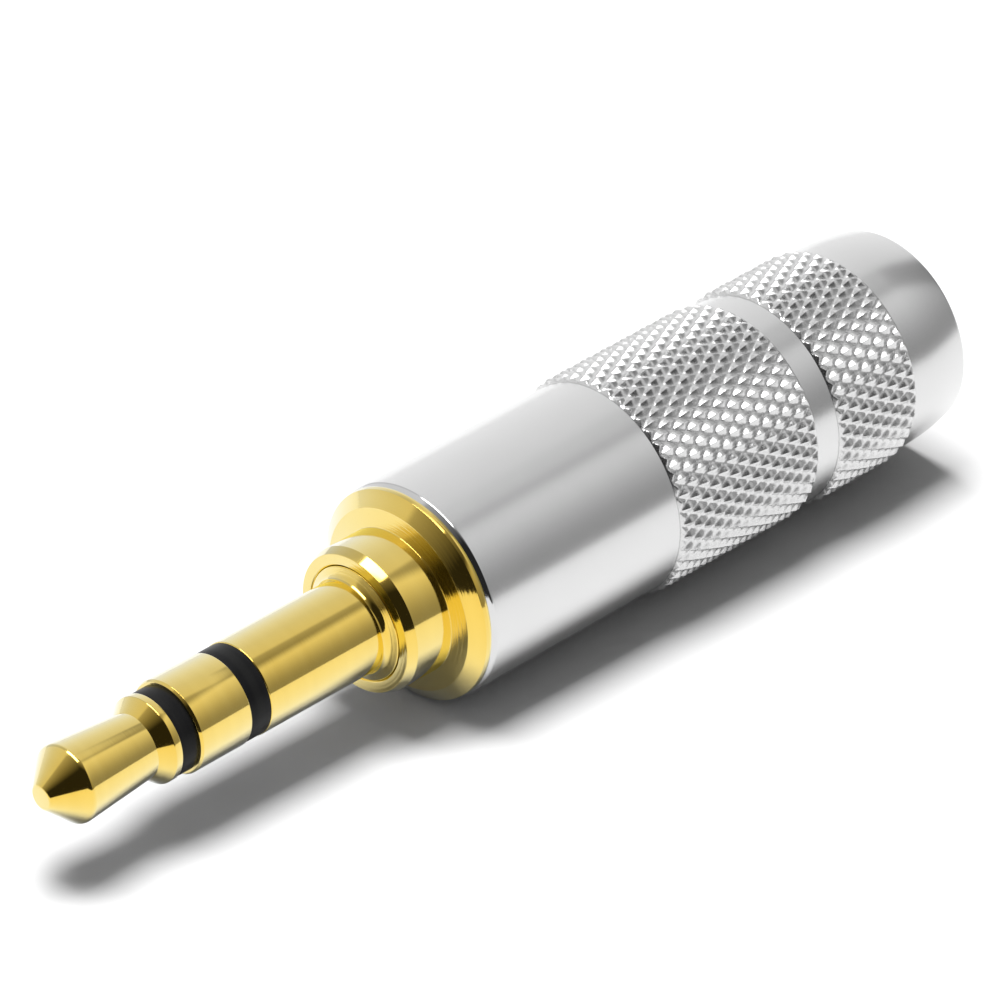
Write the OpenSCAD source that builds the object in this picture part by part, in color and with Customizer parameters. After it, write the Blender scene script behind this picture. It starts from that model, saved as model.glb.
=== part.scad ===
// Stereo mini jack plug with a knurled barrel that unscrews from the plug.
// The axis is +Z, the plug stands on the barrel's cable end and the tip points up.

/* [Pin] */
// Diameter of the ring and sleeve contacts
pin_d = 3.5; // [3.4:0.05:4]
// Diameter of the blunt nose
nose_d = 0.9; // [0.5:0.05:1.4]
// Length from the nose to the widest place of the tip
tip_cone_len = 1.08; // [0.8:0.02:1.4]
// Widest diameter of the tip
tip_d = 2.95; // [2.6:0.05:3.1]
// Length from the widest place of the tip to its waist
tip_body_len = 3.11; // [2.4:0.01:3.6]
// Diameter of the waist behind the tip
waist_d = 2.44; // [2.2:0.02:2.6]
// Length of the flare between the waist and the rear rim
flare_len = 0.47; // [0.4:0.01:1]
// Diameter of the tip's rear rim
rim_d = 3.24; // [3:0.02:3.4]
// Length of the tip's rear rim
rim_len = 0.29; // [0.15:0.01:0.6]
// Length of the spacer between tip and ring
tip_spacer_len = 0.73; // [0.5:0.05:1.2]
// How far the spacer between tip and ring lies below the ring's surface
tip_spacer_drop = 0.16; // [0.05:0.01:0.3]
// Length of the ring contact
ring_len = 2.31; // [1.6:0.1:3]
// Front chamfer of the ring contact
ring_chamfer = 0.06; // [0.04:0.01:0.15]
// Length of the spacer between ring and sleeve
ring_spacer_len = 0.89; // [0.6:0.05:1.4]
// How far the spacer between ring and sleeve lies below the sleeve's surface
ring_spacer_drop = 0.03; // [0:0.01:0.15]
// Length of the bare sleeve contact
sleeve_len = 5.16; // [3:0.01:7]
// Small edge break on the contacts
contact_edge = 0.04; // [0.02:0.01:0.06]
// Rounding of the tip's widest edge
tip_edge_round = 0.3; // [0.05:0.01:0.4]

/* [Collar and flange] */
// Length of the shoulder, from the collar's front to the sleeve
shoulder_len = 0.37; // [0.3:0.01:0.8]
// Width of the shoulder's taper beside the sleeve
shoulder_taper_w = 0.09; // [0.05:0.01:0.12]
// Length of the shoulder's taper beside the sleeve
shoulder_taper_len = 0.25; // [0.1:0.01:0.28]
// Outer diameter of the shoulder
shoulder_d = 4.3; // [4.1:0.05:4.5]
// Width of the seam's bevel round the shoulder
seam_bevel = 0.05; // [0.02:0.01:0.1]
// Wall of the collar round the shoulder
collar_wall = 0.58; // [0.45:0.01:0.8]
// Length of the collar, from the flange's face to its front
collar_len = 1.96; // [1.2:0.02:3]
// Width of the collar's front taper across the face
collar_taper_w = 0.15; // [0.1:0.01:0.35]
// Length of the collar's front taper along the axis
collar_taper_len = 0.37; // [0.1:0.01:0.6]
// Radius of the corner between collar and flange
collar_fillet = 0.04; // [0.02:0.01:0.2]
// How far the flange's rim lies inside the barrel's surface
flange_inset = 0.05; // [0:0.01:0.2]
// Length of the flange's cylindrical rim
flange_rim = 0.1; // [0.08:0.01:0.5]
// Width of the narrow taper between the flange's rim and bevel
flange_edge_w = 0.05; // [0.02:0.01:0.1]
// Length of the narrow taper between the flange's rim and bevel
flange_edge_len = 0.13; // [0.05:0.01:0.3]
// Length of the flange's bevel along the axis
flange_bevel_len = 0.38; // [0.2:0.01:0.8]
// Width of the flange's face between the collar and the bevel
flange_face_w = 0.7; // [0.5:0.01:0.9]
// Rise of the flange's face from the bevel to the collar
flange_rise = 0.11; // [0.05:0.01:0.4]
// Gap between the flange and the barrel's front
flange_gap = 0.04; // [0.02:0.01:0.1]

/* [Barrel] */
// Diameter of the smooth barrel
barrel_d = 8.1; // [7.4:0.05:9]
// Length of the smooth front of the barrel
barrel_front_len = 9.15; // [7:0.05:14]
// Length of the smooth band between the two knurled bands
band_len = 1.1; // [0.6:0.1:3]
// Length of the smooth rear of the barrel
rear_len = 2.9; // [2.6:0.1:5]
// Length of the rear that curves inwards to the cable end
rear_crown_len = 2.2; // [1:0.1:2.5]
// How far the cable end's edge lies inside the barrel's surface
rear_inset = 0.25; // [0.1:0.01:0.5]
// Rounding of the cable end's outer edge
rear_round = 0.12; // [0.05:0.01:0.3]
// Front chamfer of the barrel
barrel_chamfer = 0.15; // [0.04:0.01:0.2]
// Wall of the barrel round the chamber
chamber_wall = 0.7; // [0.55:0.01:0.75]
// Diameter of the cable inlet
inlet_d = 5; // [4.2:0.1:5.4]
// Length of the cable inlet
inlet_len = 2.4; // [1.6:0.1:3]
// Chamfer of the cable inlet's mouth
inlet_chamfer = 0.3; // [0.1:0.05:0.5]
// Length of the cone between the inlet and the chamber
inlet_cone_len = 0.6; // [0.2:0.1:1.2]

/* [Knurl] */
// Height of the knurl's peaks above the smooth barrel
knurl_rise = 0.2; // [0.1:0.01:0.4]
// Height of the knurl's groove floors above the smooth barrel
knurl_floor = 0.02; // [0.01:0.005:0.05]
// Number of knurl peaks in one row round the barrel
knurl_count = 47; // [36:1:54]
// Length of one knurl peak along the axis
knurl_pitch = 1; // [0.8:0.05:1.4]
// Length of the front knurled band
knurl_front_len = 7; // [4:0.5:9]
// Length of the rear knurled band
knurl_rear_len = 4; // [2:0.5:6]

/* [Thread] */
// Wall of the barrel round its thread
thread_wall = 0.6; // [0.45:0.01:0.65]
// Length of the plug's thread
thread_len = 5.1; // [4:0.1:7]
// Rear chamfer of the plug's thread
thread_chamfer = 0.3; // [0.1:0.05:0.5]
// Gap round the thread in the barrel
thread_gap = 0.05; // [0.03:0.01:0.1]
// Spare depth of the barrel's thread below the plug's thread
thread_spare = 0.5; // [0.2:0.1:1.5]

/* [Contacts inside] */
// Diameter of the tip's rod
rod_d = 1.1; // [0.9:0.02:1.2]
// Wall of the tube that lines the ring
tip_tube_wall = 0.33; // [0.25:0.01:0.35]
// Wall of the ring's tube
ring_tube_wall = 0.28; // [0.2:0.01:0.3]
// Wall of the tube that lines the sleeve
ring_liner_wall = 0.21; // [0.15:0.01:0.22]
// Length of the riveted lips
lip_len = 0.15; // [0.1:0.01:0.25]
// Width of the riveted lips
lip_w = 0.14; // [0.08:0.01:0.2]
// Diameter of the rivet head on the tip's rod
rivet_d = 1.8; // [1.5:0.1:2]
// Length of the rivet head on the tip's rod
rivet_len = 0.3; // [0.2:0.05:0.5]

/* [Terminals] */
// Thickness of the ground terminal
ground_t = 0.4; // [0.3:0.05:0.5]
// How far the ground terminal's plate lies inside its tail's outer face
ground_plate_inset = 0.28; // [0.1:0.02:0.4]
// Thickness of the solder tags
tag_t = 0.35; // [0.25:0.05:0.5]
// How far the ring tag's plate lies inside the washer above it
ring_tag_inset = 0.25; // [0.1:0.05:0.5]
// Diameter of the tip tag's plate
tip_tag_d = 3; // [2.6:0.1:3.2]
// Distance of the ring tag's tail from the axis, to its outer face
ring_tag_reach = 2.35; // [2.2:0.05:2.5]
// Distance of the tip tag's tail from the axis, to its outer face
tip_tag_reach = 1.75; // [1.6:0.05:2]
// Length of the ring tag's tail
ring_tail_len = 5.6; // [4:0.1:7]
// Length of the tip tag's tail
tip_tail_len = 4.6; // [3:0.1:6]
// Width of the solder tags' tails
tail_w = 1.5; // [1.2:0.1:1.7]
// Diameter of the wire eyes
eye_d = 0.8; // [0.5:0.1:0.9]
// Length of the ground terminal's tail, clamp included
ground_tail_len = 14.2; // [12:0.1:15]
// Length of the cable clamp
clamp_len = 2.8; // [2:0.1:4]
// Angle that the cable clamp wraps round the cable
clamp_sweep = 210; // [160:5:270]
// Gap between the washer behind the ground terminal and that terminal's tail
rear_washer_gap = 0.13; // [0.05:0.01:0.18]
// Wall of that washer round the sleeve's riveted lip
rear_washer_wall = 0.14; // [0.1:0.01:0.3]
// Length of the washer behind the ground terminal
rear_washer_len = 0.95; // [0.7:0.05:1.4]
// Diameter of the washer between the solder tags
tag_washer_d = 3; // [2.9:0.05:3.6]
// Length of the washer between the solder tags
tag_washer_len = 0.9; // [0.6:0.05:1.4]

/* [Insulating tube] */
// Wall of the insulating tube
tube_wall = 0.25; // [0.15:0.01:0.28]
// Gap round the insulating tube in the chamber
tube_gap = 0.1; // [0.05:0.01:0.12]
// Play of the insulating tube along the axis at each end
tube_play = 0.05; // [0.03:0.01:0.2]
// Gap between the terminals' edges and the insulating tube
tail_gap = 0.2; // [0.1:0.05:0.3]

/* [Clearances] */
// Gap between pieces that sit in one another
seat_gap = 0.02; // [0.01:0.005:0.03]

/* [Hidden] */
$fn = 96;
gilt = "#d8b13f";
silver = "#c9cacc";
black_plastic = "#1c1c1e";
clear_plastic = "#dfe6ea";
tinned = "#b9b7b0";

// Steps of a rounded corner's arc
round_steps = 6;
// Steps of the cable end's long curve
crown_steps = 8;
// How deep the knurled rings reach into the barrel's wall
knurl_bed = 0.2;

// Heights along the axis, from the cable end up
knurl_rear_z = rear_len;
band_z = knurl_rear_z + knurl_rear_len;
knurl_front_z = band_z + band_len;
barrel_smooth_z = knurl_front_z + knurl_front_len;
barrel_front_z = barrel_smooth_z + barrel_front_len;
flange_z = barrel_front_z + flange_gap;
bevel_z = flange_z + flange_rim + flange_edge_len + flange_bevel_len;
collar_z = bevel_z + flange_rise;
collar_front_z = collar_z + collar_len;
sleeve_z = collar_front_z + shoulder_len;
sleeve_front_z = sleeve_z + sleeve_len;
ring_z = sleeve_front_z + ring_spacer_len;
ring_front_z = ring_z + ring_len;
rim_z = ring_front_z + tip_spacer_len;
flare_z = rim_z + rim_len;
waist_z = flare_z + flare_len;
tip_edge_z = waist_z + tip_body_len;
nose_z = tip_edge_z + tip_cone_len;

// Heights of the stack behind the thread, from the thread down
thread_rear_z = flange_z - thread_len;
ground_rear_z = thread_rear_z - ground_t;
sleeve_end_z = ground_rear_z - lip_len;
rear_washer_z = ground_rear_z - rear_washer_len;
ring_tag_z = rear_washer_z - tag_t;
ring_end_z = ring_tag_z - lip_len;
tag_washer_z = ring_tag_z - tag_washer_len;
tip_tag_z = tag_washer_z - tag_t;
rod_end_z = tip_tag_z - rivet_len;
chamber_z = inlet_len + inlet_cone_len;

// Radii of the pieces that sit in one another, from the axis out
rod_r = rod_d / 2;
tip_tube_in_r = rod_r + seat_gap;
tip_tube_r = tip_tube_in_r + tip_tube_wall;
ring_bore_r = tip_tube_r + seat_gap;
ring_tube_r = ring_bore_r + ring_tube_wall;
liner_in_r = ring_tube_r + seat_gap;
liner_r = liner_in_r + ring_liner_wall;
sleeve_bore_r = liner_r + seat_gap;
pin_r = pin_d / 2;
shank_r = shoulder_d / 2;
collar_bore_r = shank_r + seat_gap;
collar_r = collar_bore_r + collar_wall;
barrel_r = barrel_d / 2;
thread_bore_r = barrel_r - thread_wall;
thread_r = thread_bore_r - thread_gap;
chamber_r = barrel_r - chamber_wall;
tube_r = chamber_r - tube_gap;
tube_in_r = tube_r - tube_wall;
clamp_r = tube_in_r - tail_gap;
ground_tail_r = clamp_r - seat_gap;
ground_tail_in_r = ground_tail_r - ground_t;
rear_washer_r = ground_tail_in_r - rear_washer_gap;
lip_recess_r = rear_washer_r - rear_washer_wall;
neck_r = lip_recess_r - seat_gap - lip_w;

function unit(v) = v / norm(v);

// Arc of radius r that rounds the corner b between the lines to a and to c
function corner(a, b, c, r, steps = round_steps) =
    let (u = unit(a - b), v = unit(c - b), half = acos(u * v) / 2)
    let (centre = b + unit(u + v) * r / sin(half))
    let (from = b + u * r / tan(half) - centre, to = b + v * r / tan(half) - centre)
    let (start = atan2(from.y, from.x))
    let (turn = (atan2(to.y, to.x) - start + 540) % 360 - 180)
    [for (i = [0:steps]) centre + r * [cos(start + turn * i / steps), sin(start + turn * i / steps)]];

// Solid of revolution from a profile of [radius, height] points
module turned(profile) {
    rotate_extrude() polygon(profile);
}

// Plain ring between two heights
module washer(bore_r, outer_r, low, high) {
    turned([[bore_r, low], [outer_r, low], [outer_r, high], [bore_r, high]]);
}

module tip_contact() {
    nose_r = nose_d / 2;
    nose = [nose_r, nose_z];
    edge = [tip_d / 2, tip_edge_z];
    waist = [waist_d / 2, waist_z];
    rim_r = rim_d / 2;
    color(gilt) turned(concat(
        [[0, rod_end_z], [rivet_d / 2, rod_end_z], [rivet_d / 2, tip_tag_z], [rod_r, tip_tag_z]],
        [[rod_r, rim_z], [rim_r - contact_edge, rim_z], [rim_r, rim_z + contact_edge]],
        corner([rim_r, rim_z], [rim_r, flare_z], waist, 2 * contact_edge),
        [waist],
        corner(waist, edge, nose, tip_edge_round),
        corner(edge, nose, [0, nose_z], nose_r / 3),
        [[0, nose_z]]));
}

module tip_insulator() {
    spacer_r = pin_r - tip_spacer_drop;
    color(black_plastic) turned([
        [tip_tube_in_r, ring_end_z], [tip_tube_r, ring_end_z], [tip_tube_r, ring_front_z],
        [spacer_r, ring_front_z], [spacer_r, rim_z], [tip_tube_in_r, rim_z]]);
}

module ring_contact() {
    lip_r = ring_tube_r + lip_w;
    color(gilt) turned([
        [ring_bore_r, ring_end_z], [lip_r, ring_end_z], [lip_r, ring_tag_z], [ring_tube_r, ring_tag_z],
        [ring_tube_r, ring_z], [pin_r - contact_edge, ring_z], [pin_r, ring_z + contact_edge],
        [pin_r, ring_front_z - 1.5 * ring_chamfer], [pin_r - ring_chamfer, ring_front_z],
        [ring_bore_r, ring_front_z]]);
}

module ring_insulator() {
    spacer_r = pin_r - ring_spacer_drop;
    color(black_plastic) turned([
        [liner_in_r, sleeve_end_z], [liner_r, sleeve_end_z], [liner_r, sleeve_front_z],
        [spacer_r, sleeve_front_z], [spacer_r, ring_z], [liner_in_r, ring_z]]);
}

module sleeve_contact() {
    lip_r = neck_r + lip_w;
    shoulder_edge = [shank_r, collar_front_z];
    taper_foot = [pin_r + shoulder_taper_w, sleeve_z - shoulder_taper_len];
    color(gilt) turned(concat(
        [[sleeve_bore_r, sleeve_end_z], [lip_r, sleeve_end_z], [lip_r, ground_rear_z]],
        [[neck_r, ground_rear_z], [neck_r, thread_rear_z], [shank_r, thread_rear_z]],
        corner([shank_r, thread_rear_z], shoulder_edge, taper_foot, seam_bevel),
        [taper_foot, [pin_r, sleeve_z], [pin_r, sleeve_front_z - contact_edge]],
        [[pin_r - contact_edge, sleeve_front_z], [sleeve_bore_r, sleeve_front_z]]));
}

module plug_collar() {
    flange_r = barrel_r - flange_inset;
    collar_foot = [collar_r, collar_z];
    collar_front = [collar_r, collar_front_z];
    bevel_top = [collar_r + flange_face_w, bevel_z];
    edge_foot = [flange_r, flange_z + flange_rim];
    bevel_foot = edge_foot + [-flange_edge_w, flange_edge_len];
    flange_low = [flange_r, flange_z];
    color(gilt) turned(concat(
        [[collar_bore_r, thread_rear_z], [thread_r - thread_chamfer, thread_rear_z]],
        [[thread_r, thread_rear_z + thread_chamfer], [thread_r, flange_z]],
        corner([thread_r, flange_z], flange_low, edge_foot, contact_edge),
        [edge_foot, bevel_foot, bevel_top],
        corner(bevel_top, collar_foot, collar_front, collar_fillet),
        [[collar_r, collar_front_z - collar_taper_len], [collar_r - collar_taper_w, collar_front_z]],
        [[collar_bore_r + seam_bevel, collar_front_z], [collar_bore_r, collar_front_z - seam_bevel]]));
}

module rear_insulator() {
    color(black_plastic) turned([
        [liner_in_r, rear_washer_z], [rear_washer_r, rear_washer_z], [rear_washer_r, ground_rear_z],
        [lip_recess_r, ground_rear_z], [lip_recess_r, sleeve_end_z], [liner_in_r, sleeve_end_z]]);
}

module terminal_insulator() {
    recess_r = ring_tube_r + lip_w + seat_gap;
    washer_r = tag_washer_d / 2;
    color(black_plastic) turned([
        [tip_tube_in_r, tag_washer_z], [washer_r, tag_washer_z], [washer_r, ring_tag_z],
        [recess_r, ring_tag_z], [recess_r, ring_end_z], [tip_tube_in_r, ring_end_z]]);
}

// Stamped tag: a pierced plate, an arm outwards and a tail with a wire eye bent down along the axis
module solder_tag(bore_r, plate_r, plate_z, reach, tail_len) {
    eye_z = plate_z + tag_t - tail_len + tail_w / 2;
    difference() {
        union() {
            washer(bore_r, plate_r, plate_z, plate_z + tag_t);
            translate([bore_r + tag_t, -tail_w / 2, plate_z]) cube([reach - bore_r - tag_t, tail_w, tag_t]);
            translate([reach - tag_t, -tail_w / 2, eye_z]) cube([tag_t, tail_w, plate_z + tag_t - eye_z]);
            translate([reach - tag_t, 0, eye_z]) rotate([0, 90, 0]) cylinder(d = tail_w, h = tag_t);
        }
        translate([reach - 2 * tag_t, 0, eye_z]) rotate([0, 90, 0]) cylinder(d = eye_d, h = 3 * tag_t);
    }
}

module ring_terminal() {
    color(tinned) solder_tag(liner_in_r, rear_washer_r - ring_tag_inset, ring_tag_z, ring_tag_reach, ring_tail_len);
}

module tip_terminal() {
    color(tinned) rotate(180)
        solder_tag(tip_tube_in_r, tip_tag_d / 2, tip_tag_z, tip_tag_reach, tip_tail_len);
}

module ground_terminal() {
    bore_r = neck_r + seat_gap;
    plate_r = ground_tail_r - ground_plate_inset;
    tail_z = thread_rear_z - ground_tail_len;
    color(tinned) union() {
        washer(bore_r, plate_r, ground_rear_z, thread_rear_z);
        translate([-tail_w / 2, bore_r + ground_t, ground_rear_z])
            cube([tail_w, ground_tail_r - bore_r - ground_t, ground_t]);
        translate([-tail_w / 2, ground_tail_in_r, tail_z]) cube([tail_w, ground_t, ground_tail_len]);
        translate([0, 0, tail_z]) rotate(90 - clamp_sweep / 2) rotate_extrude(angle = clamp_sweep)
            translate([clamp_r - ground_t, 0]) square([ground_t, clamp_len]);
    }
}

module insulating_tube() {
    color(clear_plastic, 0.5)
        washer(tube_in_r, tube_r, chamber_z + tube_play, thread_rear_z - tube_play);
}

// Ring of four-sided peaks between two crossing sets of spiral grooves
module knurl_ring(low, len) {
    rows = round(2 * len / knurl_pitch);
    columns = 2 * knurl_count;
    peak_r = barrel_r + knurl_rise;
    floor_r = barrel_r + knurl_floor;
    inner_r = barrel_r - knurl_bed;
    skin = [for (j = [0:rows]) for (i = [0:columns - 1])
        let (r = (i + j) % 2 == 1 ? peak_r : floor_r, a = 360 * i / columns)
        [r * cos(a), r * sin(a), low + len * j / rows]];
    bed = [for (z = [low, low + len]) for (i = [0:columns - 1])
        let (a = 360 * i / columns) [inner_r * cos(a), inner_r * sin(a), z]];
    function at(i, j) = j * columns + i % columns;
    bed_low = (rows + 1) * columns;
    bed_high = bed_low + columns;
    facets = [for (j = [0:rows - 1]) for (i = [0:columns - 1])
        let (a = at(i, j), b = at(i + 1, j), c = at(i + 1, j + 1), d = at(i, j + 1))
        each (i + j) % 2 == 0 ? [[a, c, b], [a, d, c]] : [[a, d, b], [b, d, c]]];
    ends = [for (i = [0:columns - 1]) let (n = (i + 1) % columns)
        each [[at(i, 0), at(n, 0), bed_low + n, bed_low + i],
            [at(n, rows), at(i, rows), bed_high + i, bed_high + n],
            [bed_low + i, bed_low + n, bed_high + n, bed_high + i]]];
    polyhedron(concat(skin, bed), concat(facets, ends));
}

// The barrel's wall without its knurl, from the cable end up the outside and down the inside
module barrel_wall() {
    crown_r = (rear_crown_len * rear_crown_len + rear_inset * rear_inset) / (2 * rear_inset);
    crown_angle = asin(rear_crown_len / crown_r);
    crown = [for (i = [1:crown_steps]) let (a = crown_angle * (1 - i / crown_steps))
        [barrel_r - crown_r * (1 - cos(a)), rear_crown_len - crown_r * sin(a)]];
    inlet_r = inlet_d / 2;
    thread_end_z = thread_rear_z - thread_spare;
    turned(concat(
        [[inlet_r + inlet_chamfer, 0]],
        corner([inlet_r, 0], [barrel_r - rear_inset, 0], crown[0], rear_round),
        crown,
        [[barrel_r, barrel_front_z - barrel_chamfer], [barrel_r - barrel_chamfer, barrel_front_z]],
        [[thread_bore_r + barrel_chamfer, barrel_front_z], [thread_bore_r, barrel_front_z - barrel_chamfer]],
        [[thread_bore_r, thread_end_z], [chamber_r, thread_end_z], [chamber_r, chamber_z]],
        [[inlet_r, inlet_len], [inlet_r, inlet_chamfer]]));
}

module barrel() {
    color(silver) union() {
        barrel_wall();
        knurl_ring(knurl_rear_z, knurl_rear_len);
        knurl_ring(knurl_front_z, knurl_front_len);
    }
}

tip_contact();
tip_insulator();
ring_contact();
ring_insulator();
sleeve_contact();
plug_collar();
rear_insulator();
ring_terminal();
terminal_insulator();
tip_terminal();
ground_terminal();
insulating_tube();
barrel();
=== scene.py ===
"""Looks of the stereo mini jack plug: turned gilt contacts, black spacers and a satin knurled barrel.

Sizes are in millimetres along the plug's axis (+Z, cable end at 0) and become metres in put_mesh().
"""
import math

import bpy
import numpy as np
from mathutils import Matrix, Vector


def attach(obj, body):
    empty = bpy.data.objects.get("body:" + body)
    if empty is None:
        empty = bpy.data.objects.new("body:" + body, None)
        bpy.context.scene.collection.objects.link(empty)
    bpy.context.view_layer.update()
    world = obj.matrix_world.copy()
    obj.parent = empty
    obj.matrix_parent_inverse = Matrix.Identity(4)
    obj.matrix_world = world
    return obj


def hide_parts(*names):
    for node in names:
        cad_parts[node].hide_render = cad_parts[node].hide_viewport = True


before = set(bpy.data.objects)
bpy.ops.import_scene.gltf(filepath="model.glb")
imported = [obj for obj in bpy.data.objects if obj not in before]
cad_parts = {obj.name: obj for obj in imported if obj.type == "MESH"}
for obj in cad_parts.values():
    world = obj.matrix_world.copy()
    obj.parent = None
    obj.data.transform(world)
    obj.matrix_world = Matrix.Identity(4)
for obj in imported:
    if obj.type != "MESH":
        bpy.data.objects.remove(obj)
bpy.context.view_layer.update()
scene = bpy.context.scene

MM = 0.001
AXIS = Vector((0, 0, 1))
COLUMNS = 192

# Roundings of edges: usual, fine, and at the seam between sleeve and collar
EDGE, FINE_EDGE, SEAM_EDGE = 0.04, 0.02, 0.01

# Pin, from the collar to the nose
PIN_R = 1.75
SLEEVE_FRONT_Z = 32.40
RING_Z, RING_FRONT_Z = 33.29, 35.60
RING_CHAMFER_W, RING_CHAMFER_LEN = 0.06, 0.09
RIM_Z, FLARE_Z, WAIST_Z = 36.33, 36.62, 37.09
TIP_EDGE_Z, NOSE_Z = 40.20, 41.28
NOSE_R, TIP_R, WAIST_R, RIM_R = 0.45, 1.475, 1.22, 1.62
TIP_EDGE_ROUND, NOSE_ROUND, RIM_ROUND = 0.30, 0.15, 0.08
TIP_SPACER_R, RING_SPACER_R = 1.59, 1.72

# Nested radii and rear ends inside the plug
ROD_R, RIVET_R, RIVET_ROUND = 0.55, 0.90, 0.10
TIP_TUBE_IN_R, TIP_TUBE_R = 0.57, 0.90
RING_BORE_R, RING_TUBE_R, RING_LIP_R = 0.92, 1.20, 1.34
LINER_IN_R, LINER_R, SLEEVE_BORE_R = 1.22, 1.43, 1.45
NECK_R, SLEEVE_LIP_R, SHANK_R = 1.95, 2.09, 2.15
ROD_END_Z, TIP_TAG_Z, RING_END_Z, RING_TAG_Z = 15.84, 16.14, 17.24, 17.39
SLEEVE_END_Z, GROUND_REAR_Z, THREAD_REAR_Z = 18.54, 18.69, 19.09

# Collar, flange and thread
COLLAR_BORE_R, COLLAR_R, COLLAR_FRONT_Z = 2.17, 2.75, 26.87
COLLAR_TAPER_W, COLLAR_TAPER_LEN, SEAM_BEVEL, SEAM_DEPTH = 0.15, 0.37, 0.05, 1.00
SHOULDER_Z, SHOULDER_FILLET = 27.03, 0.30
COLLAR_Z, BEVEL_Z, BEVEL_FOOT_Z, FLANGE_RIM_Z, FLANGE_Z = 24.91, 24.80, 24.42, 24.29, 24.19
FLANGE_R, BEVEL_FOOT_R, BEVEL_R = 4.00, 3.975, 3.45
THREAD_R, THREAD_PITCH, THREAD_DEPTH, THREAD_FLAT = 3.40, 0.75, 0.38, 0.10
THREAD_CHAMFER, THREAD_RUNOUT, THREAD_RUNOUT_Z, ROOT_ROUND = 0.30, 0.30, 23.75, 0.05
ROOT_R = THREAD_R - THREAD_DEPTH
ROWS_A_TURN = 16

# Barrel
BARREL_R, BARREL_FRONT_Z = 4.05, 24.15
FRONT_CHAMFER, FRONT_ROUND, ROOM_FOR_ROUND = 0.15, 0.15, 0.10
THREAD_BORE_R, THREAD_END_Z = 3.45, 18.59
CHAMBER_R, CHAMBER_Z = 3.35, 3.00
INLET_R, INLET_LEN, INLET_CHAMFER = 2.50, 2.40, 0.30
REAR_R, CROWN_LEN, REAR_ROUND = 3.80, 2.20, 0.12
CROWN_STEPS, MIDDLE_RINGS, FRONT_RINGS = 14, 3, 8

# Knurl: bands (low, high, rows), half diamonds round the barrel, grid steps in each, heights and end bevels
KNURL_BANDS = ((2.90, 6.90, 8), (8.00, 15.00, 14))
KNURL_COLUMNS, KNURL_FINE, KNURL_ROUND = 94, 5, 0.18
PEAK_R, FLOOR_R = 4.25, 4.09
GROOVE_SHARE, CREST_SHARE = 0.10, 0.06
END_STEP, END_SLOPE, END_FINE = 0.02, 0.90, 2
KNURL_SHARP_DEG = 40.0

# Bright-cut front edge of the barrel and duller knurl: where they start, and their share of the roughness
BRIGHT_CUT_Z, BRIGHT_CUT = BARREL_FRONT_Z - FRONT_CHAMFER - 0.06, 0.35
DULLER_R, DULLER = BARREL_R + 0.01, 1.15

# Camera of the photograph: part axes and flange centre in camera axes (x right, y down, z away)
FOCAL_PX, FRAME_PX, SENSOR_MM = 7400.0, 1000.0, 36.0
AXIS_TO_REAR = Vector((0.7116, -0.3925, 0.5828)).normalized()
FLOOR_UP = Vector((0.0, -0.8467, -0.5321)).normalized()
FLANGE_IN_VIEW = Vector((-3.092, 3.196, 255.64)) * MM
FLANGE_CENTRE = Vector((0, 0, 24.2)) * MM

# Floor: its reach in metres from the knurl's front edge, and its gap under the knurl in mm
FLOOR_LEFT, FLOOR_RIGHT, FLOOR_FRONT, FLOOR_BACK = 0.22, 0.10, 0.09, 0.60
FLOOR_GAP = 0.01

# Lamp overhead: its lean towards the tip and to the plug's far side for each unit up, its distance and size
# in metres, and the height in mm, on the axis, that it faces
LAMP_TO_TIP, LAMP_BEHIND, LAMP_DISTANCE = 0.03, 0.115, 0.5
LAMP_WIDTH, LAMP_LENGTH, LAMP_WATTS = 0.25, 0.26, 2.9
PLUG_MIDDLE_Z = 20.0

# Studio as polished metal sees it: sines of the angles along and across the axis between which the lamp
# shows, its glow, the levels of the room, and dim gaps between panels (degrees round from the camera, top,
# share of light left)
GLOW_ALONG, GLOW_ACROSS, LAMP_GLOW = (-0.2, 0.2), (-0.43, 0.235), 6.0
SIDE_LEVEL, CAMERA_LEVEL, BEHIND_EXTRA, FAR_EXTRA = 0.40, 0.022, 0.32, 0.12
LEFT_EXTRA, PANEL_LEVEL, DULL_LEVEL = 0.1, 0.29, 0.2
GAP_ACROSS = (-0.2, 0.18)
DIM_GAPS = ((134, 0.765, 0.45), (-145, 0.84, 0.74))


def arc_corner(before, corner, after, radius, steps=6):
    """Points of the arc of that radius that is tangent to both lines meeting at the corner."""
    before, corner, after = (np.asarray(p, float) for p in (before, corner, after))
    u, v = before - corner, after - corner
    u, v = u / np.linalg.norm(u), v / np.linalg.norm(v)
    half = 0.5 * math.acos(float(np.clip(u @ v, -1, 1)))
    bisector = (u + v) / np.linalg.norm(u + v)
    centre = corner + bisector * radius / math.sin(half)
    start = corner + u * radius / math.tan(half) - centre
    end = corner + v * radius / math.tan(half) - centre
    a0, a1 = math.atan2(start[1], start[0]), math.atan2(end[1], end[0])
    turn = (a1 - a0 + 3 * math.pi) % (2 * math.pi) - math.pi
    angles = a0 + turn * np.linspace(0, 1, steps + 1)
    return centre + radius * np.stack([np.cos(angles), np.sin(angles)], 1)


def rounded(points, closed=True):
    """Profile through (radius, height, rounding) points, each corner replaced by an arc of its rounding."""
    count, out = len(points), []
    for i, (r, z, rounding) in enumerate(points):
        inner = closed or 0 < i < count - 1
        if rounding and inner:
            before, after = points[i - 1][:2], points[(i + 1) % count][:2]
            out.append(arc_corner(before, (r, z), after, rounding))
        else:
            out.append(np.array([[r, z]], float))
    return np.concatenate(out)


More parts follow.
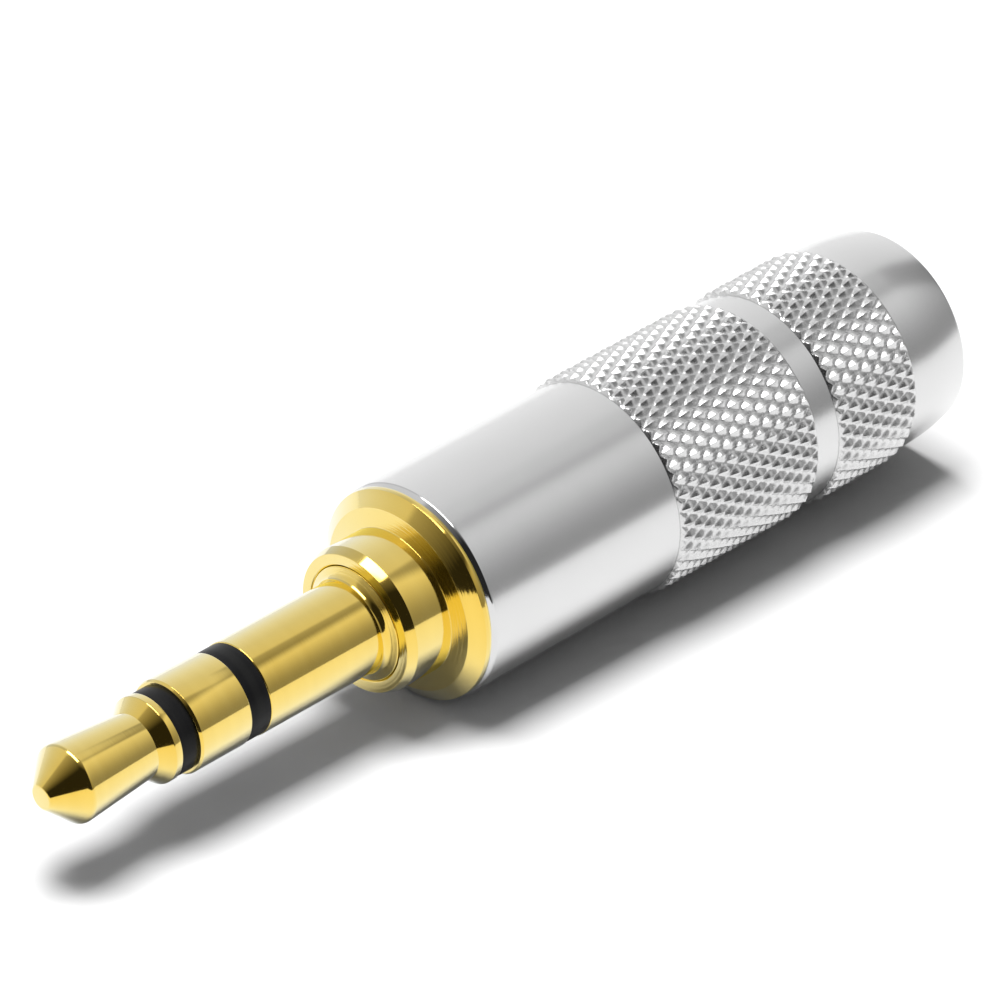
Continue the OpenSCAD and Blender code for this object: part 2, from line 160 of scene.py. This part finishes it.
def put_mesh(name, points, faces, body, node, material, sharp_deg=32.0):
    """Puts points in mm and faces into a mesh that rides on the body and stands for the node."""
    mesh = bpy.data.meshes.new(name)
    mesh.from_pydata((np.asarray(points, float) * MM).tolist(), [], faces)
    mesh.validate()
    mesh.shade_smooth()
    mesh.set_sharp_from_angle(angle=math.radians(sharp_deg))
    piece = bpy.data.objects.new(name, mesh)
    scene.collection.objects.link(piece)
    mesh.materials.append(material)
    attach(piece, body)
    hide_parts(node)


def angles_round(columns):
    """Even angles round the axis."""
    return np.linspace(0, 2 * math.pi, columns, endpoint=False)


def rings_on_axis(profile, angles):
    """Rings of a solid of revolution: each (radius, height) of the profile at every angle."""
    r, z = profile[:, :1], profile[:, 1:]
    x, y = r * np.cos(angles), r * np.sin(angles)
    return np.stack([x, y, np.broadcast_to(z, x.shape)], -1)


def ring_quads(rows, columns, closed):
    """Quads between neighbouring rings, and from the last ring to the first where the profile is closed."""
    i = np.arange(rows if closed else rows - 1)[:, None]
    j = np.arange(columns)[None, :]
    here, above = i * columns, (i + 1) % rows * columns
    beside = (j + 1) % columns
    return np.stack([here + j, here + beside, above + beside, above + j], -1)


def turned(name, profile, node, material):
    """Solid of revolution. A profile that starts and ends on the axis is closed by a fan at each pole."""
    solid = profile[0, 0] == 0
    body = profile[1:-1] if solid else profile
    points = rings_on_axis(body, angles_round(COLUMNS)).reshape(-1, 3)
    faces = ring_quads(len(body), COLUMNS, not solid).reshape(-1, 4).tolist()
    if solid:
        poles = np.array([[0, 0, profile[0, 1]], [0, 0, profile[-1, 1]]])
        low, high = len(points), len(points) + 1
        j = np.arange(COLUMNS)
        beside, last = (j + 1) % COLUMNS, (len(body) - 1) * COLUMNS
        faces += np.stack([np.full(COLUMNS, low), beside, j], 1).tolist()
        faces += np.stack([np.full(COLUMNS, high), last + j, last + beside], 1).tolist()
        points = np.concatenate([points, poles])
    put_mesh(name, points, faces, "plug", node, material)


def tip_profile():
    """Rod, rear rim, flare, tapered body, front cone and softly domed nose."""
    return rounded([
        (0, ROD_END_Z, 0), (RIVET_R, ROD_END_Z, RIVET_ROUND), (RIVET_R, TIP_TAG_Z, 0), (ROD_R, TIP_TAG_Z, 0),
        (ROD_R, RIM_Z, 0), (RIM_R, RIM_Z, EDGE), (RIM_R, FLARE_Z, RIM_ROUND), (WAIST_R, WAIST_Z, 0),
        (TIP_R, TIP_EDGE_Z, TIP_EDGE_ROUND), (NOSE_R, NOSE_Z, NOSE_ROUND), (0, NOSE_Z, 0)], closed=False)


def ring_profile():
    """Ring with a front chamfer, and its tube with a riveted lip."""
    return rounded([
        (RING_BORE_R, RING_END_Z, 0), (RING_LIP_R, RING_END_Z, EDGE), (RING_LIP_R, RING_TAG_Z, 0),
        (RING_TUBE_R, RING_TAG_Z, 0), (RING_TUBE_R, RING_Z, 0), (PIN_R, RING_Z, EDGE),
        (PIN_R, RING_FRONT_Z - RING_CHAMFER_LEN, FINE_EDGE),
        (PIN_R - RING_CHAMFER_W, RING_FRONT_Z, FINE_EDGE), (RING_BORE_R, RING_FRONT_Z, 0)])


def sleeve_profile():
    """Sleeve, filleted shoulder, shank in the collar and riveted lip."""
    return rounded([
        (SLEEVE_BORE_R, SLEEVE_END_Z, 0), (SLEEVE_LIP_R, SLEEVE_END_Z, EDGE),
        (SLEEVE_LIP_R, GROUND_REAR_Z, 0), (NECK_R, GROUND_REAR_Z, 0), (NECK_R, THREAD_REAR_Z, 0),
        (SHANK_R, THREAD_REAR_Z, 0), (SHANK_R, COLLAR_FRONT_Z, SEAM_BEVEL),
        (PIN_R, SHOULDER_Z, SHOULDER_FILLET), (PIN_R, SLEEVE_FRONT_Z, EDGE),
        (SLEEVE_BORE_R, SLEEVE_FRONT_Z, 0)])


def spacer_profile(bore_r, tube_r, spacer_r, low, seat, high):
    """Visible spacer ring and the liner tube behind it."""
    return rounded([
        (bore_r, low, 0), (tube_r, low, 0), (tube_r, seat, 0), (spacer_r, seat, FINE_EDGE),
        (spacer_r, high, FINE_EDGE), (bore_r, high, 0)])


def collar_parts():
    """Profile from the thread's front end round flange and collar to the bore, and the bore's rear end."""
    front = rounded([
        (ROOT_R, THREAD_RUNOUT_Z, 0), (ROOT_R, FLANGE_Z, ROOT_ROUND), (FLANGE_R, FLANGE_Z, EDGE),
        (FLANGE_R, FLANGE_RIM_Z, FINE_EDGE), (BEVEL_FOOT_R, BEVEL_FOOT_Z, FINE_EDGE),
        (BEVEL_R, BEVEL_Z, FINE_EDGE), (COLLAR_R, COLLAR_Z, EDGE),
        (COLLAR_R, COLLAR_FRONT_Z - COLLAR_TAPER_LEN, FINE_EDGE),
        (COLLAR_R - COLLAR_TAPER_W, COLLAR_FRONT_Z, FINE_EDGE),
        (COLLAR_BORE_R + SEAM_BEVEL, COLLAR_FRONT_Z, SEAM_EDGE),
        (COLLAR_BORE_R, COLLAR_FRONT_Z - SEAM_BEVEL, SEAM_EDGE),
        (COLLAR_BORE_R, COLLAR_FRONT_Z - SEAM_DEPTH, 0)], closed=False)
    rear = np.array([[COLLAR_BORE_R, THREAD_REAR_Z], [ROOT_R, THREAD_REAR_Z]])
    return front, rear


def threaded_collar(material):
    """Collar and flange, with a right-hand thread behind. The thread's radius is a triangle wave of the
    height less a turn's share of the pitch, with flat crests and roots, and fades to the root at the rear
    chamfer and the runout."""
    angles = angles_round(COLUMNS)
    front, rear = collar_parts()
    length = THREAD_RUNOUT_Z - THREAD_REAR_Z
    rows = int(length / THREAD_PITCH * ROWS_A_TURN)
    z = THREAD_REAR_Z + length * (np.arange(1, rows) / rows)[:, None]
    phase = (z / THREAD_PITCH - angles / (2 * math.pi)) % 1
    wave = np.clip((np.abs(2 * phase - 1) - THREAD_FLAT) / (1 - 2 * THREAD_FLAT), 0, 1)
    start = np.clip((z - THREAD_REAR_Z) / THREAD_CHAMFER, 0, 1)
    fade = start * np.clip((THREAD_RUNOUT_Z - z) / THREAD_RUNOUT, 0, 1)
    r = THREAD_R - THREAD_DEPTH * (1 - wave * fade)
    helix = np.stack([r * np.cos(angles), r * np.sin(angles), np.broadcast_to(z, r.shape)], -1)
    rings = np.concatenate([rings_on_axis(rear, angles), helix, rings_on_axis(front, angles)])
    faces = ring_quads(len(rings), COLUMNS, True).reshape(-1, 4).tolist()
    put_mesh("collar_and_flange", rings.reshape(-1, 3), faces, "plug", "plug_collar", material)


def soft_min(x, y, reach):
    """Lower of two heights, rounded where they differ by less than the reach."""
    return np.minimum(x, y) - np.maximum(reach - np.abs(x - y), 0) ** 2 / (4 * reach)


def groove_wall(turn):
    """Height of a groove's wall, from 0 on its floor to 1 at the crest. A groove lies at each whole turn."""
    away = 2 * np.abs(turn - np.round(turn))
    return -soft_min((GROOVE_SHARE - away) / (1 - GROOVE_SHARE - CREST_SHARE), 0, KNURL_ROUND)


def knurl_grid(low, high, rows):
    """Rings of one knurled band. Two sets of spiral grooves run where half the sum and half the difference
    of column and row are whole numbers. The surface follows the lower of the two sets' walls, with rounded
    corners. A bevel, on rings twice as close, cuts the peaks at both ends. Also tells which cells lie on the
    second set."""
    between = (np.arange(END_FINE) + 0.5) / KNURL_FINE
    n = np.arange(rows * KNURL_FINE + 1) / KNURL_FINE
    n = np.sort(np.concatenate([n, between, rows - between]))[:, None]
    m = np.arange(KNURL_COLUMNS * KNURL_FINE)[None, :] / KNURL_FINE
    first, second = groove_wall((m + n) / 2), groove_wall((m - n) / 2)
    rise = soft_min(soft_min(first, second, KNURL_ROUND), 1, KNURL_ROUND)
    r = FLOOR_R + (PEAK_R - FLOOR_R) * rise / rise.max()
    to_end = np.minimum(n, rows - n) * (high - low) / rows
    r = np.minimum(r, BARREL_R + END_STEP + END_SLOPE * to_end)
    angles = 2 * math.pi * m / KNURL_COLUMNS
    z = np.broadcast_to(low + (high - low) * n / rows, r.shape)
    on_second = second < groove_wall((m + n) / 2 + 0.5 / KNURL_FINE)
    return np.stack([r * np.cos(angles), r * np.sin(angles), z], -1), on_second[:-1]


def barrel_sections():
    """Smooth stretches of the barrel between the knurled bands: cable end, middle band, front and inside."""
    drop = BARREL_R - REAR_R
    crown_r = (CROWN_LEN ** 2 + drop ** 2) / (2 * drop)
    a = math.asin(CROWN_LEN / crown_r) * np.linspace(1, 0, CROWN_STEPS + 1)[1:]
    crown = np.stack([BARREL_R - crown_r * (1 - np.cos(a)), CROWN_LEN - crown_r * np.sin(a)], 1)
    edge = arc_corner((INLET_R, 0), (REAR_R, 0), crown[0], REAR_ROUND)
    bands = [z for band in KNURL_BANDS for z in band[:2]]
    inlet = [[INLET_R, INLET_CHAMFER], [INLET_R + INLET_CHAMFER, 0]]
    rear = np.concatenate([inlet, edge, crown, [[BARREL_R, bands[0]]]])
    middle = np.array([[BARREL_R, z] for z in np.linspace(bands[1], bands[2], MIDDLE_RINGS)])
    chamfer_r, chamfer_z = BARREL_R - FRONT_CHAMFER, BARREL_FRONT_Z - FRONT_CHAMFER
    smooth = [[BARREL_R, z] for z in np.linspace(bands[3], chamfer_z - ROOM_FOR_ROUND, FRONT_RINGS)]
    shoulder = arc_corner(smooth[0], (BARREL_R, chamfer_z), (chamfer_r, BARREL_FRONT_Z), FRONT_ROUND)
    inside = [
        [chamfer_r, BARREL_FRONT_Z], [THREAD_BORE_R + FRONT_CHAMFER, BARREL_FRONT_Z],
        [THREAD_BORE_R, chamfer_z], [THREAD_BORE_R, THREAD_END_Z],
        [CHAMBER_R, THREAD_END_Z], [CHAMBER_R, CHAMBER_Z], [INLET_R, INLET_LEN]]
    return rear, middle, np.concatenate([smooth, shoulder, inside])


def knurled_barrel(material):
    """Barrel in one closed skin of rings: smooth stretches and knurled bands, joined by low steps. The
    knurl's quads are split along the grooves that they belong to."""
    columns = KNURL_COLUMNS * KNURL_FINE
    angles = angles_round(columns)
    rear, middle, front = (rings_on_axis(section, angles) for section in barrel_sections())
    (rear_knurl, rear_split), (front_knurl, front_split) = (knurl_grid(*band) for band in KNURL_BANDS)
    stack = [rear, rear_knurl, middle, front_knurl, front]
    points = np.concatenate(stack)
    quads = ring_quads(len(points), columns, True)
    starts = np.cumsum([0] + [len(part) for part in stack])
    faces = []
    for k, split in enumerate((None, rear_split, None, front_split, None)):
        rows = quads[starts[k]:starts[k + 1]]
        if split is None:
            faces += rows.reshape(-1, 4).tolist()
            continue
        faces += rows[-1].tolist()
        cells = rows[:-1]
        faces += cells[split][:, [0, 1, 2]].tolist() + cells[split][:, [0, 2, 3]].tolist()
        faces += cells[~split][:, [0, 1, 3]].tolist() + cells[~split][:, [1, 2, 3]].tolist()
    put_mesh("knurled_barrel", points.reshape(-1, 3), faces, "barrel", "barrel", material,
             sharp_deg=KNURL_SHARP_DEG)


def node_group(name, inputs, outputs):
    """New shader node group with float inputs (name, default) and float outputs."""
    group = bpy.data.node_groups.new(name, "ShaderNodeTree")
    for label, value in inputs:
        socket = group.interface.new_socket(name=label, in_out="INPUT", socket_type="NodeSocketFloat")
        socket.default_value = value
    for label in outputs:
        group.interface.new_socket(name=label, in_out="OUTPUT", socket_type="NodeSocketFloat")
    entry, result = group.nodes.new("NodeGroupInput"), group.nodes.new("NodeGroupOutput")
    return group, entry, result


def maths(tree, operation, *values):
    """Math node whose inputs are numbers or sockets; returns its output."""
    node = tree.nodes.new("ShaderNodeMath")
    node.operation = operation
    for slot, value in zip(node.inputs, values):
        if isinstance(value, (int, float)):
            slot.default_value = value
        else:
            tree.links.new(value, slot)
    return node.outputs[0]


def ramp_in(tree, value, low, high, at_low=0.0, at_high=1.0, kind="LINEAR"):
    """Map Range node that goes from one number at low to another at high; returns its output."""
    node = tree.nodes.new("ShaderNodeMapRange")
    node.interpolation_type = kind
    for label, number in (("From Min", low), ("From Max", high), ("To Min", at_low), ("To Max", at_high)):
        node.inputs[label].default_value = number
    tree.links.new(value, node.inputs["Value"])
    return node.outputs[0]


def parts_of(tree, coordinate):
    """X, Y and Z of a texture coordinate."""
    place = tree.nodes.new("ShaderNodeTexCoord")
    split = tree.nodes.new("ShaderNodeSeparateXYZ")
    tree.links.new(place.outputs[coordinate], split.inputs[0])
    return tuple(split.outputs)


def height_of(tree, x, y, z):
    """Height above the cable end."""
    return z


def radius_of(tree, x, y, z):
    """Distance from the axis."""
    squares = maths(tree, "ADD", maths(tree, "MULTIPLY", x, x), maths(tree, "MULTIPLY", y, y))
    return maths(tree, "SQRT", squares)


def turning_marks():
    """Tool marks of the lathe. Faces have rings, from noise along the distance from the axis, and round
    stretches have weaker ones, from noise along the height."""
    group, entry, result = node_group(
        "turning_marks", [("Lines per mm", 14.0), ("Waves per mm", 3.0)], ["Height", "Cloud"])
    x, y, z = parts_of(group, "Object")
    radius = radius_of(group, x, y, z)

    def rings(distance, label, detail):
        noise = group.nodes.new("ShaderNodeTexNoise")
        noise.noise_dimensions = "1D"
        noise.inputs["Scale"].default_value = 1000.0
        noise.inputs["Detail"].default_value = detail
        group.links.new(maths(group, "MULTIPLY", distance, entry.outputs[label]), noise.inputs["W"])
        return noise.outputs[0]

    slant = maths(group, "ABSOLUTE", parts_of(group, "Normal")[2])
    flat = ramp_in(group, slant, 0.7, 0.95, 0.12, 1.0, "SMOOTHSTEP")
    faces = maths(group, "MULTIPLY", rings(radius, "Lines per mm", 2.0), flat)
    rounds = rings(z, "Lines per mm", 1.0)
    group.links.new(maths(group, "MULTIPLY_ADD", rounds, 0.06, faces), result.inputs["Height"])
    group.links.new(rings(z, "Waves per mm", 1.0), result.inputs["Cloud"])
    return group


def fine_grain():
    """Even fine grain in all directions: two sizes of three-dimensional noise."""
    group, entry, result = node_group(
        "fine_grain", [("Grains per mm", 20.0), ("Clouds per mm", 0.8)], ["Height", "Cloud"])
    place = group.nodes.new("ShaderNodeTexCoord")
    for label, detail, output in (("Grains per mm", 2.0, "Height"), ("Clouds per mm", 3.0, "Cloud")):
        noise = group.nodes.new("ShaderNodeTexNoise")
        noise.inputs["Detail"].default_value = detail
        group.links.new(place.outputs["Object"], noise.inputs["Vector"])
        group.links.new(maths(group, "MULTIPLY", entry.outputs[label], 1000.0), noise.inputs["Scale"])
        group.links.new(noise.outputs[0], result.inputs[output])
    return group


def finish_material(name, group, values, colours, roughness, bump, metallic=1.0, specular=0.5):
    """Principled material: the group's cloud shades the colour, and its height the roughness and a bump."""
    material = bpy.data.materials.new(name)
    material.use_nodes = True
    tree = material.node_tree
    shader = tree.nodes["Principled BSDF"]
    marks = tree.nodes.new("ShaderNodeGroup")
    marks.node_tree = group
    for label, value in values.items():
        marks.inputs[label].default_value = value
    shade = tree.nodes.new("ShaderNodeValToRGB")
    for element, position, colour in zip(shade.color_ramp.elements, (0.3, 0.7), colours):
        element.position = position
        element.color = (*colour, 1.0)
    tree.links.new(marks.outputs["Cloud"], shade.inputs[0])
    tree.links.new(shade.outputs[0], shader.inputs["Base Color"])
    tree.links.new(ramp_in(tree, marks.outputs["Height"], 0.3, 0.7, *roughness), shader.inputs["Roughness"])
    relief = tree.nodes.new("ShaderNodeBump")
    relief.inputs["Strength"].default_value = bump[0]
    relief.inputs["Distance"].default_value = bump[1] * MM
    tree.links.new(marks.outputs["Height"], relief.inputs["Height"])
    tree.links.new(relief.outputs[0], shader.inputs["Normal"])
    shader.inputs["Metallic"].default_value = metallic
    shader.inputs["Specular IOR Level"].default_value = specular
    return material


def mixed_into(tree, socket, colour, factor):
    """Mixes a colour into what feeds the socket, by a factor."""
    mix = tree.nodes.new("ShaderNodeMix")
    mix.data_type = "RGBA"
    tree.links.new(socket.links[0].from_socket, mix.inputs["A"])
    mix.inputs["B"].default_value = (*colour, 1.0)
    tree.links.new(factor, mix.inputs["Factor"])
    tree.links.new(mix.outputs["Result"], socket)


def paint_sheen_and_reflection(material, sheen_tint, mirrored, dim):
    """Paints a sheen on metal plating: for the camera it pales towards glancing views, first to a paler
    colour and then to white. Paints its mirror image in metal another colour, a painted reflection, and dims
    it for light on its way from a dull surface, a painted shade that deepens the shadow near it."""
    tree = material.node_tree
    colour = tree.nodes["Principled BSDF"].inputs["Base Color"]
    glance = tree.nodes.new("ShaderNodeLayerWeight")
    glance.inputs["Blend"].default_value = 0.5
    rays = tree.nodes.new("ShaderNodeLightPath")
    # Painted sheen: the colour pales towards glancing views, for camera rays only
    facing = maths(tree, "MULTIPLY", glance.outputs["Facing"], rays.outputs["Is Camera Ray"])
    mixed_into(tree, colour, sheen_tint, maths(tree, "MINIMUM", maths(tree, "MULTIPLY", facing, 1.1), 1.0))
    steep = maths(tree, "MULTIPLY", maths(tree, "POWER", facing, 3.0), 1.3)
    mixed_into(tree, colour, (1.0, 1.0, 1.0), maths(tree, "MINIMUM", steep, 1.0))
    # Painted reflection colour where mirrored in metal, and painted shade: dimmed for light bounced onto
    # dull surfaces
    mixed_into(tree, colour, mirrored, rays.outputs["Is Glossy Ray"])
    mixed_into(tree, colour, dim, rays.outputs["Is Diffuse Ray"])


def roughened(material, distance, edge, factor):
    """Multiplies the roughness by a factor where a distance in metres, made by a function of the node tree
    and its object coordinates, is past an edge in mm."""
    tree = material.node_tree
    reached = distance(tree, *parts_of(tree, "Object"))
    past = ramp_in(tree, reached, edge * MM, (edge + 0.02) * MM, 1.0, factor)
    socket = tree.nodes["Principled BSDF"].inputs["Roughness"]
    tree.links.new(maths(tree, "MULTIPLY", socket.links[0].from_socket, past), socket)


marks, grain = turning_marks(), fine_grain()
gilt = finish_material("gilt_turned", marks, {"Lines per mm": 14.0, "Waves per mm": 2.0},
                       ((0.94, 0.62, 0.095), (0.97, 0.65, 0.11)), (0.08, 0.13), (0.3, 0.016))
# Painted sheen on the gilt: pale gold, then white, towards glancing views; a warmer gold where mirrored;
# dimmed for light bounced onto dull surfaces, a painted shade
paint_sheen_and_reflection(gilt, (0.97, 0.91, 0.40), (0.97, 0.75, 0.14), (0.42, 0.42, 0.42))
satin = finish_material("satin_silver", grain, {"Grains per mm": 40.0, "Clouds per mm": 0.5},
                        ((0.74, 0.74, 0.74), (0.77, 0.77, 0.77)), (0.20, 0.27), (0.2, 0.001))
# Painted sheen on the satin barrel: paler grey, then white, towards glancing views; grey where mirrored;
# dimmed for light bounced onto dull surfaces, a painted shade
paint_sheen_and_reflection(satin, (0.84, 0.84, 0.84), (0.76, 0.76, 0.76), (0.25, 0.25, 0.25))
roughened(satin, height_of, BRIGHT_CUT_Z, BRIGHT_CUT)
roughened(satin, radius_of, DULLER_R, DULLER)
black = finish_material("black_spacer", marks, {"Lines per mm": 20.0, "Waves per mm": 3.0},
                        ((0.005, 0.005, 0.0055), (0.009, 0.009, 0.009)), (0.35, 0.5), (0.2, 0.003),
                        metallic=0.0, specular=0.15)
tinned = finish_material("tinned_sheet", grain, {"Grains per mm": 15.0, "Clouds per mm": 1.2},
                         ((0.60, 0.585, 0.55), (0.72, 0.705, 0.67)), (0.25, 0.42), (0.3, 0.004))
milky = finish_material("milky_tube", grain, {"Grains per mm": 6.0, "Clouds per mm": 0.4},
                        ((0.70, 0.72, 0.72), (0.80, 0.82, 0.82)), (0.28, 0.4), (0.1, 0.004),
                        metallic=0.0)

for node, material in (("rear_insulator", black), ("terminal_insulator", black), ("ring_terminal", tinned),
                       ("tip_terminal", tinned), ("ground_terminal", tinned), ("insulating_tube", milky)):
    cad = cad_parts[node].data
    cad.materials.clear()
    cad.materials.append(material)

tip_spacer = spacer_profile(TIP_TUBE_IN_R, TIP_TUBE_R, TIP_SPACER_R, RING_END_Z, RING_FRONT_Z, RIM_Z)
ring_spacer = spacer_profile(LINER_IN_R, LINER_R, RING_SPACER_R, SLEEVE_END_Z, SLEEVE_FRONT_Z, RING_Z)
turned("turned_tip", tip_profile(), "tip_contact", gilt)
turned("tip_spacer", tip_spacer, "tip_insulator", black)
turned("turned_ring", ring_profile(), "ring_contact", gilt)
turned("ring_spacer", ring_spacer, "ring_insulator", black)
turned("turned_sleeve", sleeve_profile(), "sleeve_contact", gilt)
threaded_collar(gilt)
knurled_barrel(satin)

# The photograph's view, turned into the part's own axes
part_z = -AXIS_TO_REAR
part_x = (-FLOOR_UP).cross(part_z).normalized()
part_y = part_z.cross(part_x)
to_part = Matrix((part_x, part_y, part_z))
eye = FLANGE_CENTRE - to_part @ FLANGE_IN_VIEW
view_axes = [to_part @ Vector(way) for way in ((1, 0, 0), (0, -1, 0), (0, 0, -1))]
lens = bpy.data.cameras.new("photo_view")
lens.sensor_width, lens.lens = SENSOR_MM, FOCAL_PX / FRAME_PX * SENSOR_MM
lens.clip_start, lens.clip_end = 0.01, 10.0
camera = bpy.data.objects.new("photo_view", lens)
camera.matrix_world = Matrix.Translation(eye) @ Matrix(view_axes).transposed().to_4x4()
scene.collection.objects.link(camera)
scene.camera = camera

up = (to_part @ FLOOR_UP).normalized()
right = view_axes[0].normalized()
front = right.cross(-up).normalized()
if front.dot(eye - FLANGE_CENTRE) < 0:
    front = -front


def pale_floor():
    """Sheet of paper that the lying plug leans on with the front edges of its knurl and barrel. It is clear
    from below."""
    under = (up - Vector((0, 0, up.z))).normalized() * -PEAK_R
    middle = (under + KNURL_BANDS[1][1] * AXIS - up * FLOOR_GAP) * MM
    corners = [middle + a * right + b * front for a, b in (
        (-FLOOR_LEFT, FLOOR_FRONT), (FLOOR_RIGHT, FLOOR_FRONT),
        (FLOOR_RIGHT, -FLOOR_BACK), (-FLOOR_LEFT, -FLOOR_BACK))]
    mesh = bpy.data.meshes.new("pale_floor")
    mesh.from_pydata([tuple(c) for c in corners], [], [(0, 1, 2, 3)])
    floor = bpy.data.objects.new("pale_floor", mesh)
    scene.collection.objects.link(floor)
    if mesh.polygons[0].normal.dot(up) < 0:
        mesh.flip_normals()
    material = bpy.data.materials.new("pale_paper")
    material.use_nodes = True
    tree = material.node_tree
    paper = tree.nodes["Principled BSDF"]
    paper.inputs["Roughness"].default_value = 0.9
    paper.inputs["Specular IOR Level"].default_value = 0.1
    rays = tree.nodes.new("ShaderNodeLightPath")
    shade = tree.nodes.new("ShaderNodeMix")
    shade.data_type = "RGBA"
    shade.inputs["A"].default_value = (0.76, 0.76, 0.76, 1)
    shade.inputs["B"].default_value = (0.95, 0.95, 0.95, 1)
    tree.links.new(rays.outputs["Is Camera Ray"], shade.inputs["Factor"])
    tree.links.new(shade.outputs["Result"], paper.inputs["Base Color"])
    side = tree.nodes.new("ShaderNodeNewGeometry")
    clear = tree.nodes.new("ShaderNodeBsdfTransparent")
    mix = tree.nodes.new("ShaderNodeMixShader")
    tree.links.new(side.outputs["Backfacing"], mix.inputs[0])
    tree.links.new(paper.outputs[0], mix.inputs[1])
    tree.links.new(clear.outputs[0], mix.inputs[2])
    tree.links.new(mix.outputs[0], tree.nodes["Material Output"].inputs["Surface"])
    mesh.materials.append(material)


def overhead_box():
    """Oblong lamp overhead, a little behind, that faces the plug's middle with its length along the plug."""
    facing = (up + LAMP_TO_TIP * AXIS - LAMP_BEHIND * up.cross(AXIS)).normalized()
    side = AXIS.cross(facing).normalized()
    turned_to = Matrix((-side, facing.cross(-side), facing)).transposed()
    lamp = bpy.data.lights.new("overhead_box", "AREA")
    lamp.shape = "RECTANGLE"
    lamp.size, lamp.size_y, lamp.energy = LAMP_WIDTH, LAMP_LENGTH, LAMP_WATTS
    holder = bpy.data.objects.new("overhead_box", lamp)
    place = PLUG_MIDDLE_Z * MM * AXIS + facing * LAMP_DISTANCE
    holder.matrix_world = Matrix.Translation(place) @ turned_to.to_4x4()
    holder.visible_glossy = False
    scene.collection.objects.link(holder)


def studio_world():
    """Pale studio as polished metal sees it: bright behind, falling off to dark at the camera, dim low down
    on the right, dim gaps between the panels behind, and a lamp overhead. White where the camera looks past
    the floor, and an even dim light on what is dull."""
    world = bpy.data.worlds.new("studio")
    scene.world = world
    world.use_nodes = True
    tree = world.node_tree
    background = tree.nodes["Background"]
    place = tree.nodes.new("ShaderNodeTexCoord")

    def toward(direction):
        dot = tree.nodes.new("ShaderNodeVectorMath")
        dot.operation = "DOT_PRODUCT"
        dot.inputs[1].default_value = direction
        tree.links.new(place.outputs["Generated"], dot.inputs[0])
        return dot.outputs["Value"]

    def ramp(value, *numbers, kind="LINEAR"):
        return ramp_in(tree, value, *numbers, kind=kind)

    def times(*values):
        product = values[0]
        for value in values[1:]:
            product = maths(tree, "MULTIPLY", product, value)
        return product

    def band(value, low, high, edge):
        rise = ramp(value, low - edge, low + edge, kind="SMOOTHSTEP")
        return times(rise, ramp(value, high - edge, high + edge, 1.0, 0.0, kind="SMOOTHSTEP"))

    def blend(factor, old, new):
        return maths(tree, "MULTIPLY_ADD", factor, maths(tree, "SUBTRACT", new, old), old)

    def level_way(degrees):
        """Level direction so many degrees round from the camera, to the right."""
        angle = math.radians(degrees)
        return math.cos(angle) * front + math.sin(angle) * right

    def gap(degrees, top):
        """Dim upright strip between two panels."""
        strip = band(toward(level_way(degrees + 90)), *GAP_ACROSS, 0.05)
        ahead_of_it = ramp(toward(level_way(degrees)), 0.0, 0.1)
        return times(strip, ahead_of_it, ramp(height, top, top + 0.04, 1.0, 0.0))

    height = toward(up)
    ahead = toward(level_way(20))
    behind = ramp(ahead, -0.14, -0.03, BEHIND_EXTRA, 0.0, kind="SMOOTHSTEP")
    level = maths(tree, "ADD", ramp(ahead, -0.03, 0.6, SIDE_LEVEL, CAMERA_LEVEL), behind)
    level = maths(tree, "ADD", level, ramp(toward(front), -0.95, -0.6, FAR_EXTRA, 0.0))
    on_left = ramp(toward(level_way(-110)), 0.8, 0.95)
    level = maths(tree, "MULTIPLY_ADD", on_left, ramp(height, 0.0, 0.35, LEFT_EXTRA, 0.0), level)
    on_right = ramp(toward(level_way(100)), 0.53, 0.68, kind="SMOOTHSTEP")
    level = blend(on_right, level, maths(tree, "MULTIPLY_ADD", height, height, PANEL_LEVEL))
    for degrees, top, share in DIM_GAPS:
        level = times(level, ramp(gap(degrees, top), 0.0, 1.0, 1.0, share))
    along, across = toward(AXIS), toward(up.cross(AXIS))
    lamp = times(band(along, *GLOW_ALONG, 0.04), band(across, *GLOW_ACROSS, 0.03), ramp(height, 0.4, 0.5))
    rays = tree.nodes.new("ShaderNodeLightPath")
    lamp = times(lamp, maths(tree, "LESS_THAN", rays.outputs["Glossy Depth"], 1.5))
    level = maths(tree, "MULTIPLY_ADD", lamp, LAMP_GLOW, level)
    level = blend(maths(tree, "MINIMUM", rays.outputs["Diffuse Depth"], 1.0), level, DULL_LEVEL)
    seen = maths(tree, "MAXIMUM", level, rays.outputs["Is Camera Ray"])
    tree.links.new(seen, background.inputs["Color"])
    background.inputs["Strength"].default_value = 1.0


pale_floor()
overhead_box()
studio_world()
scene.view_settings.view_transform = "Standard"
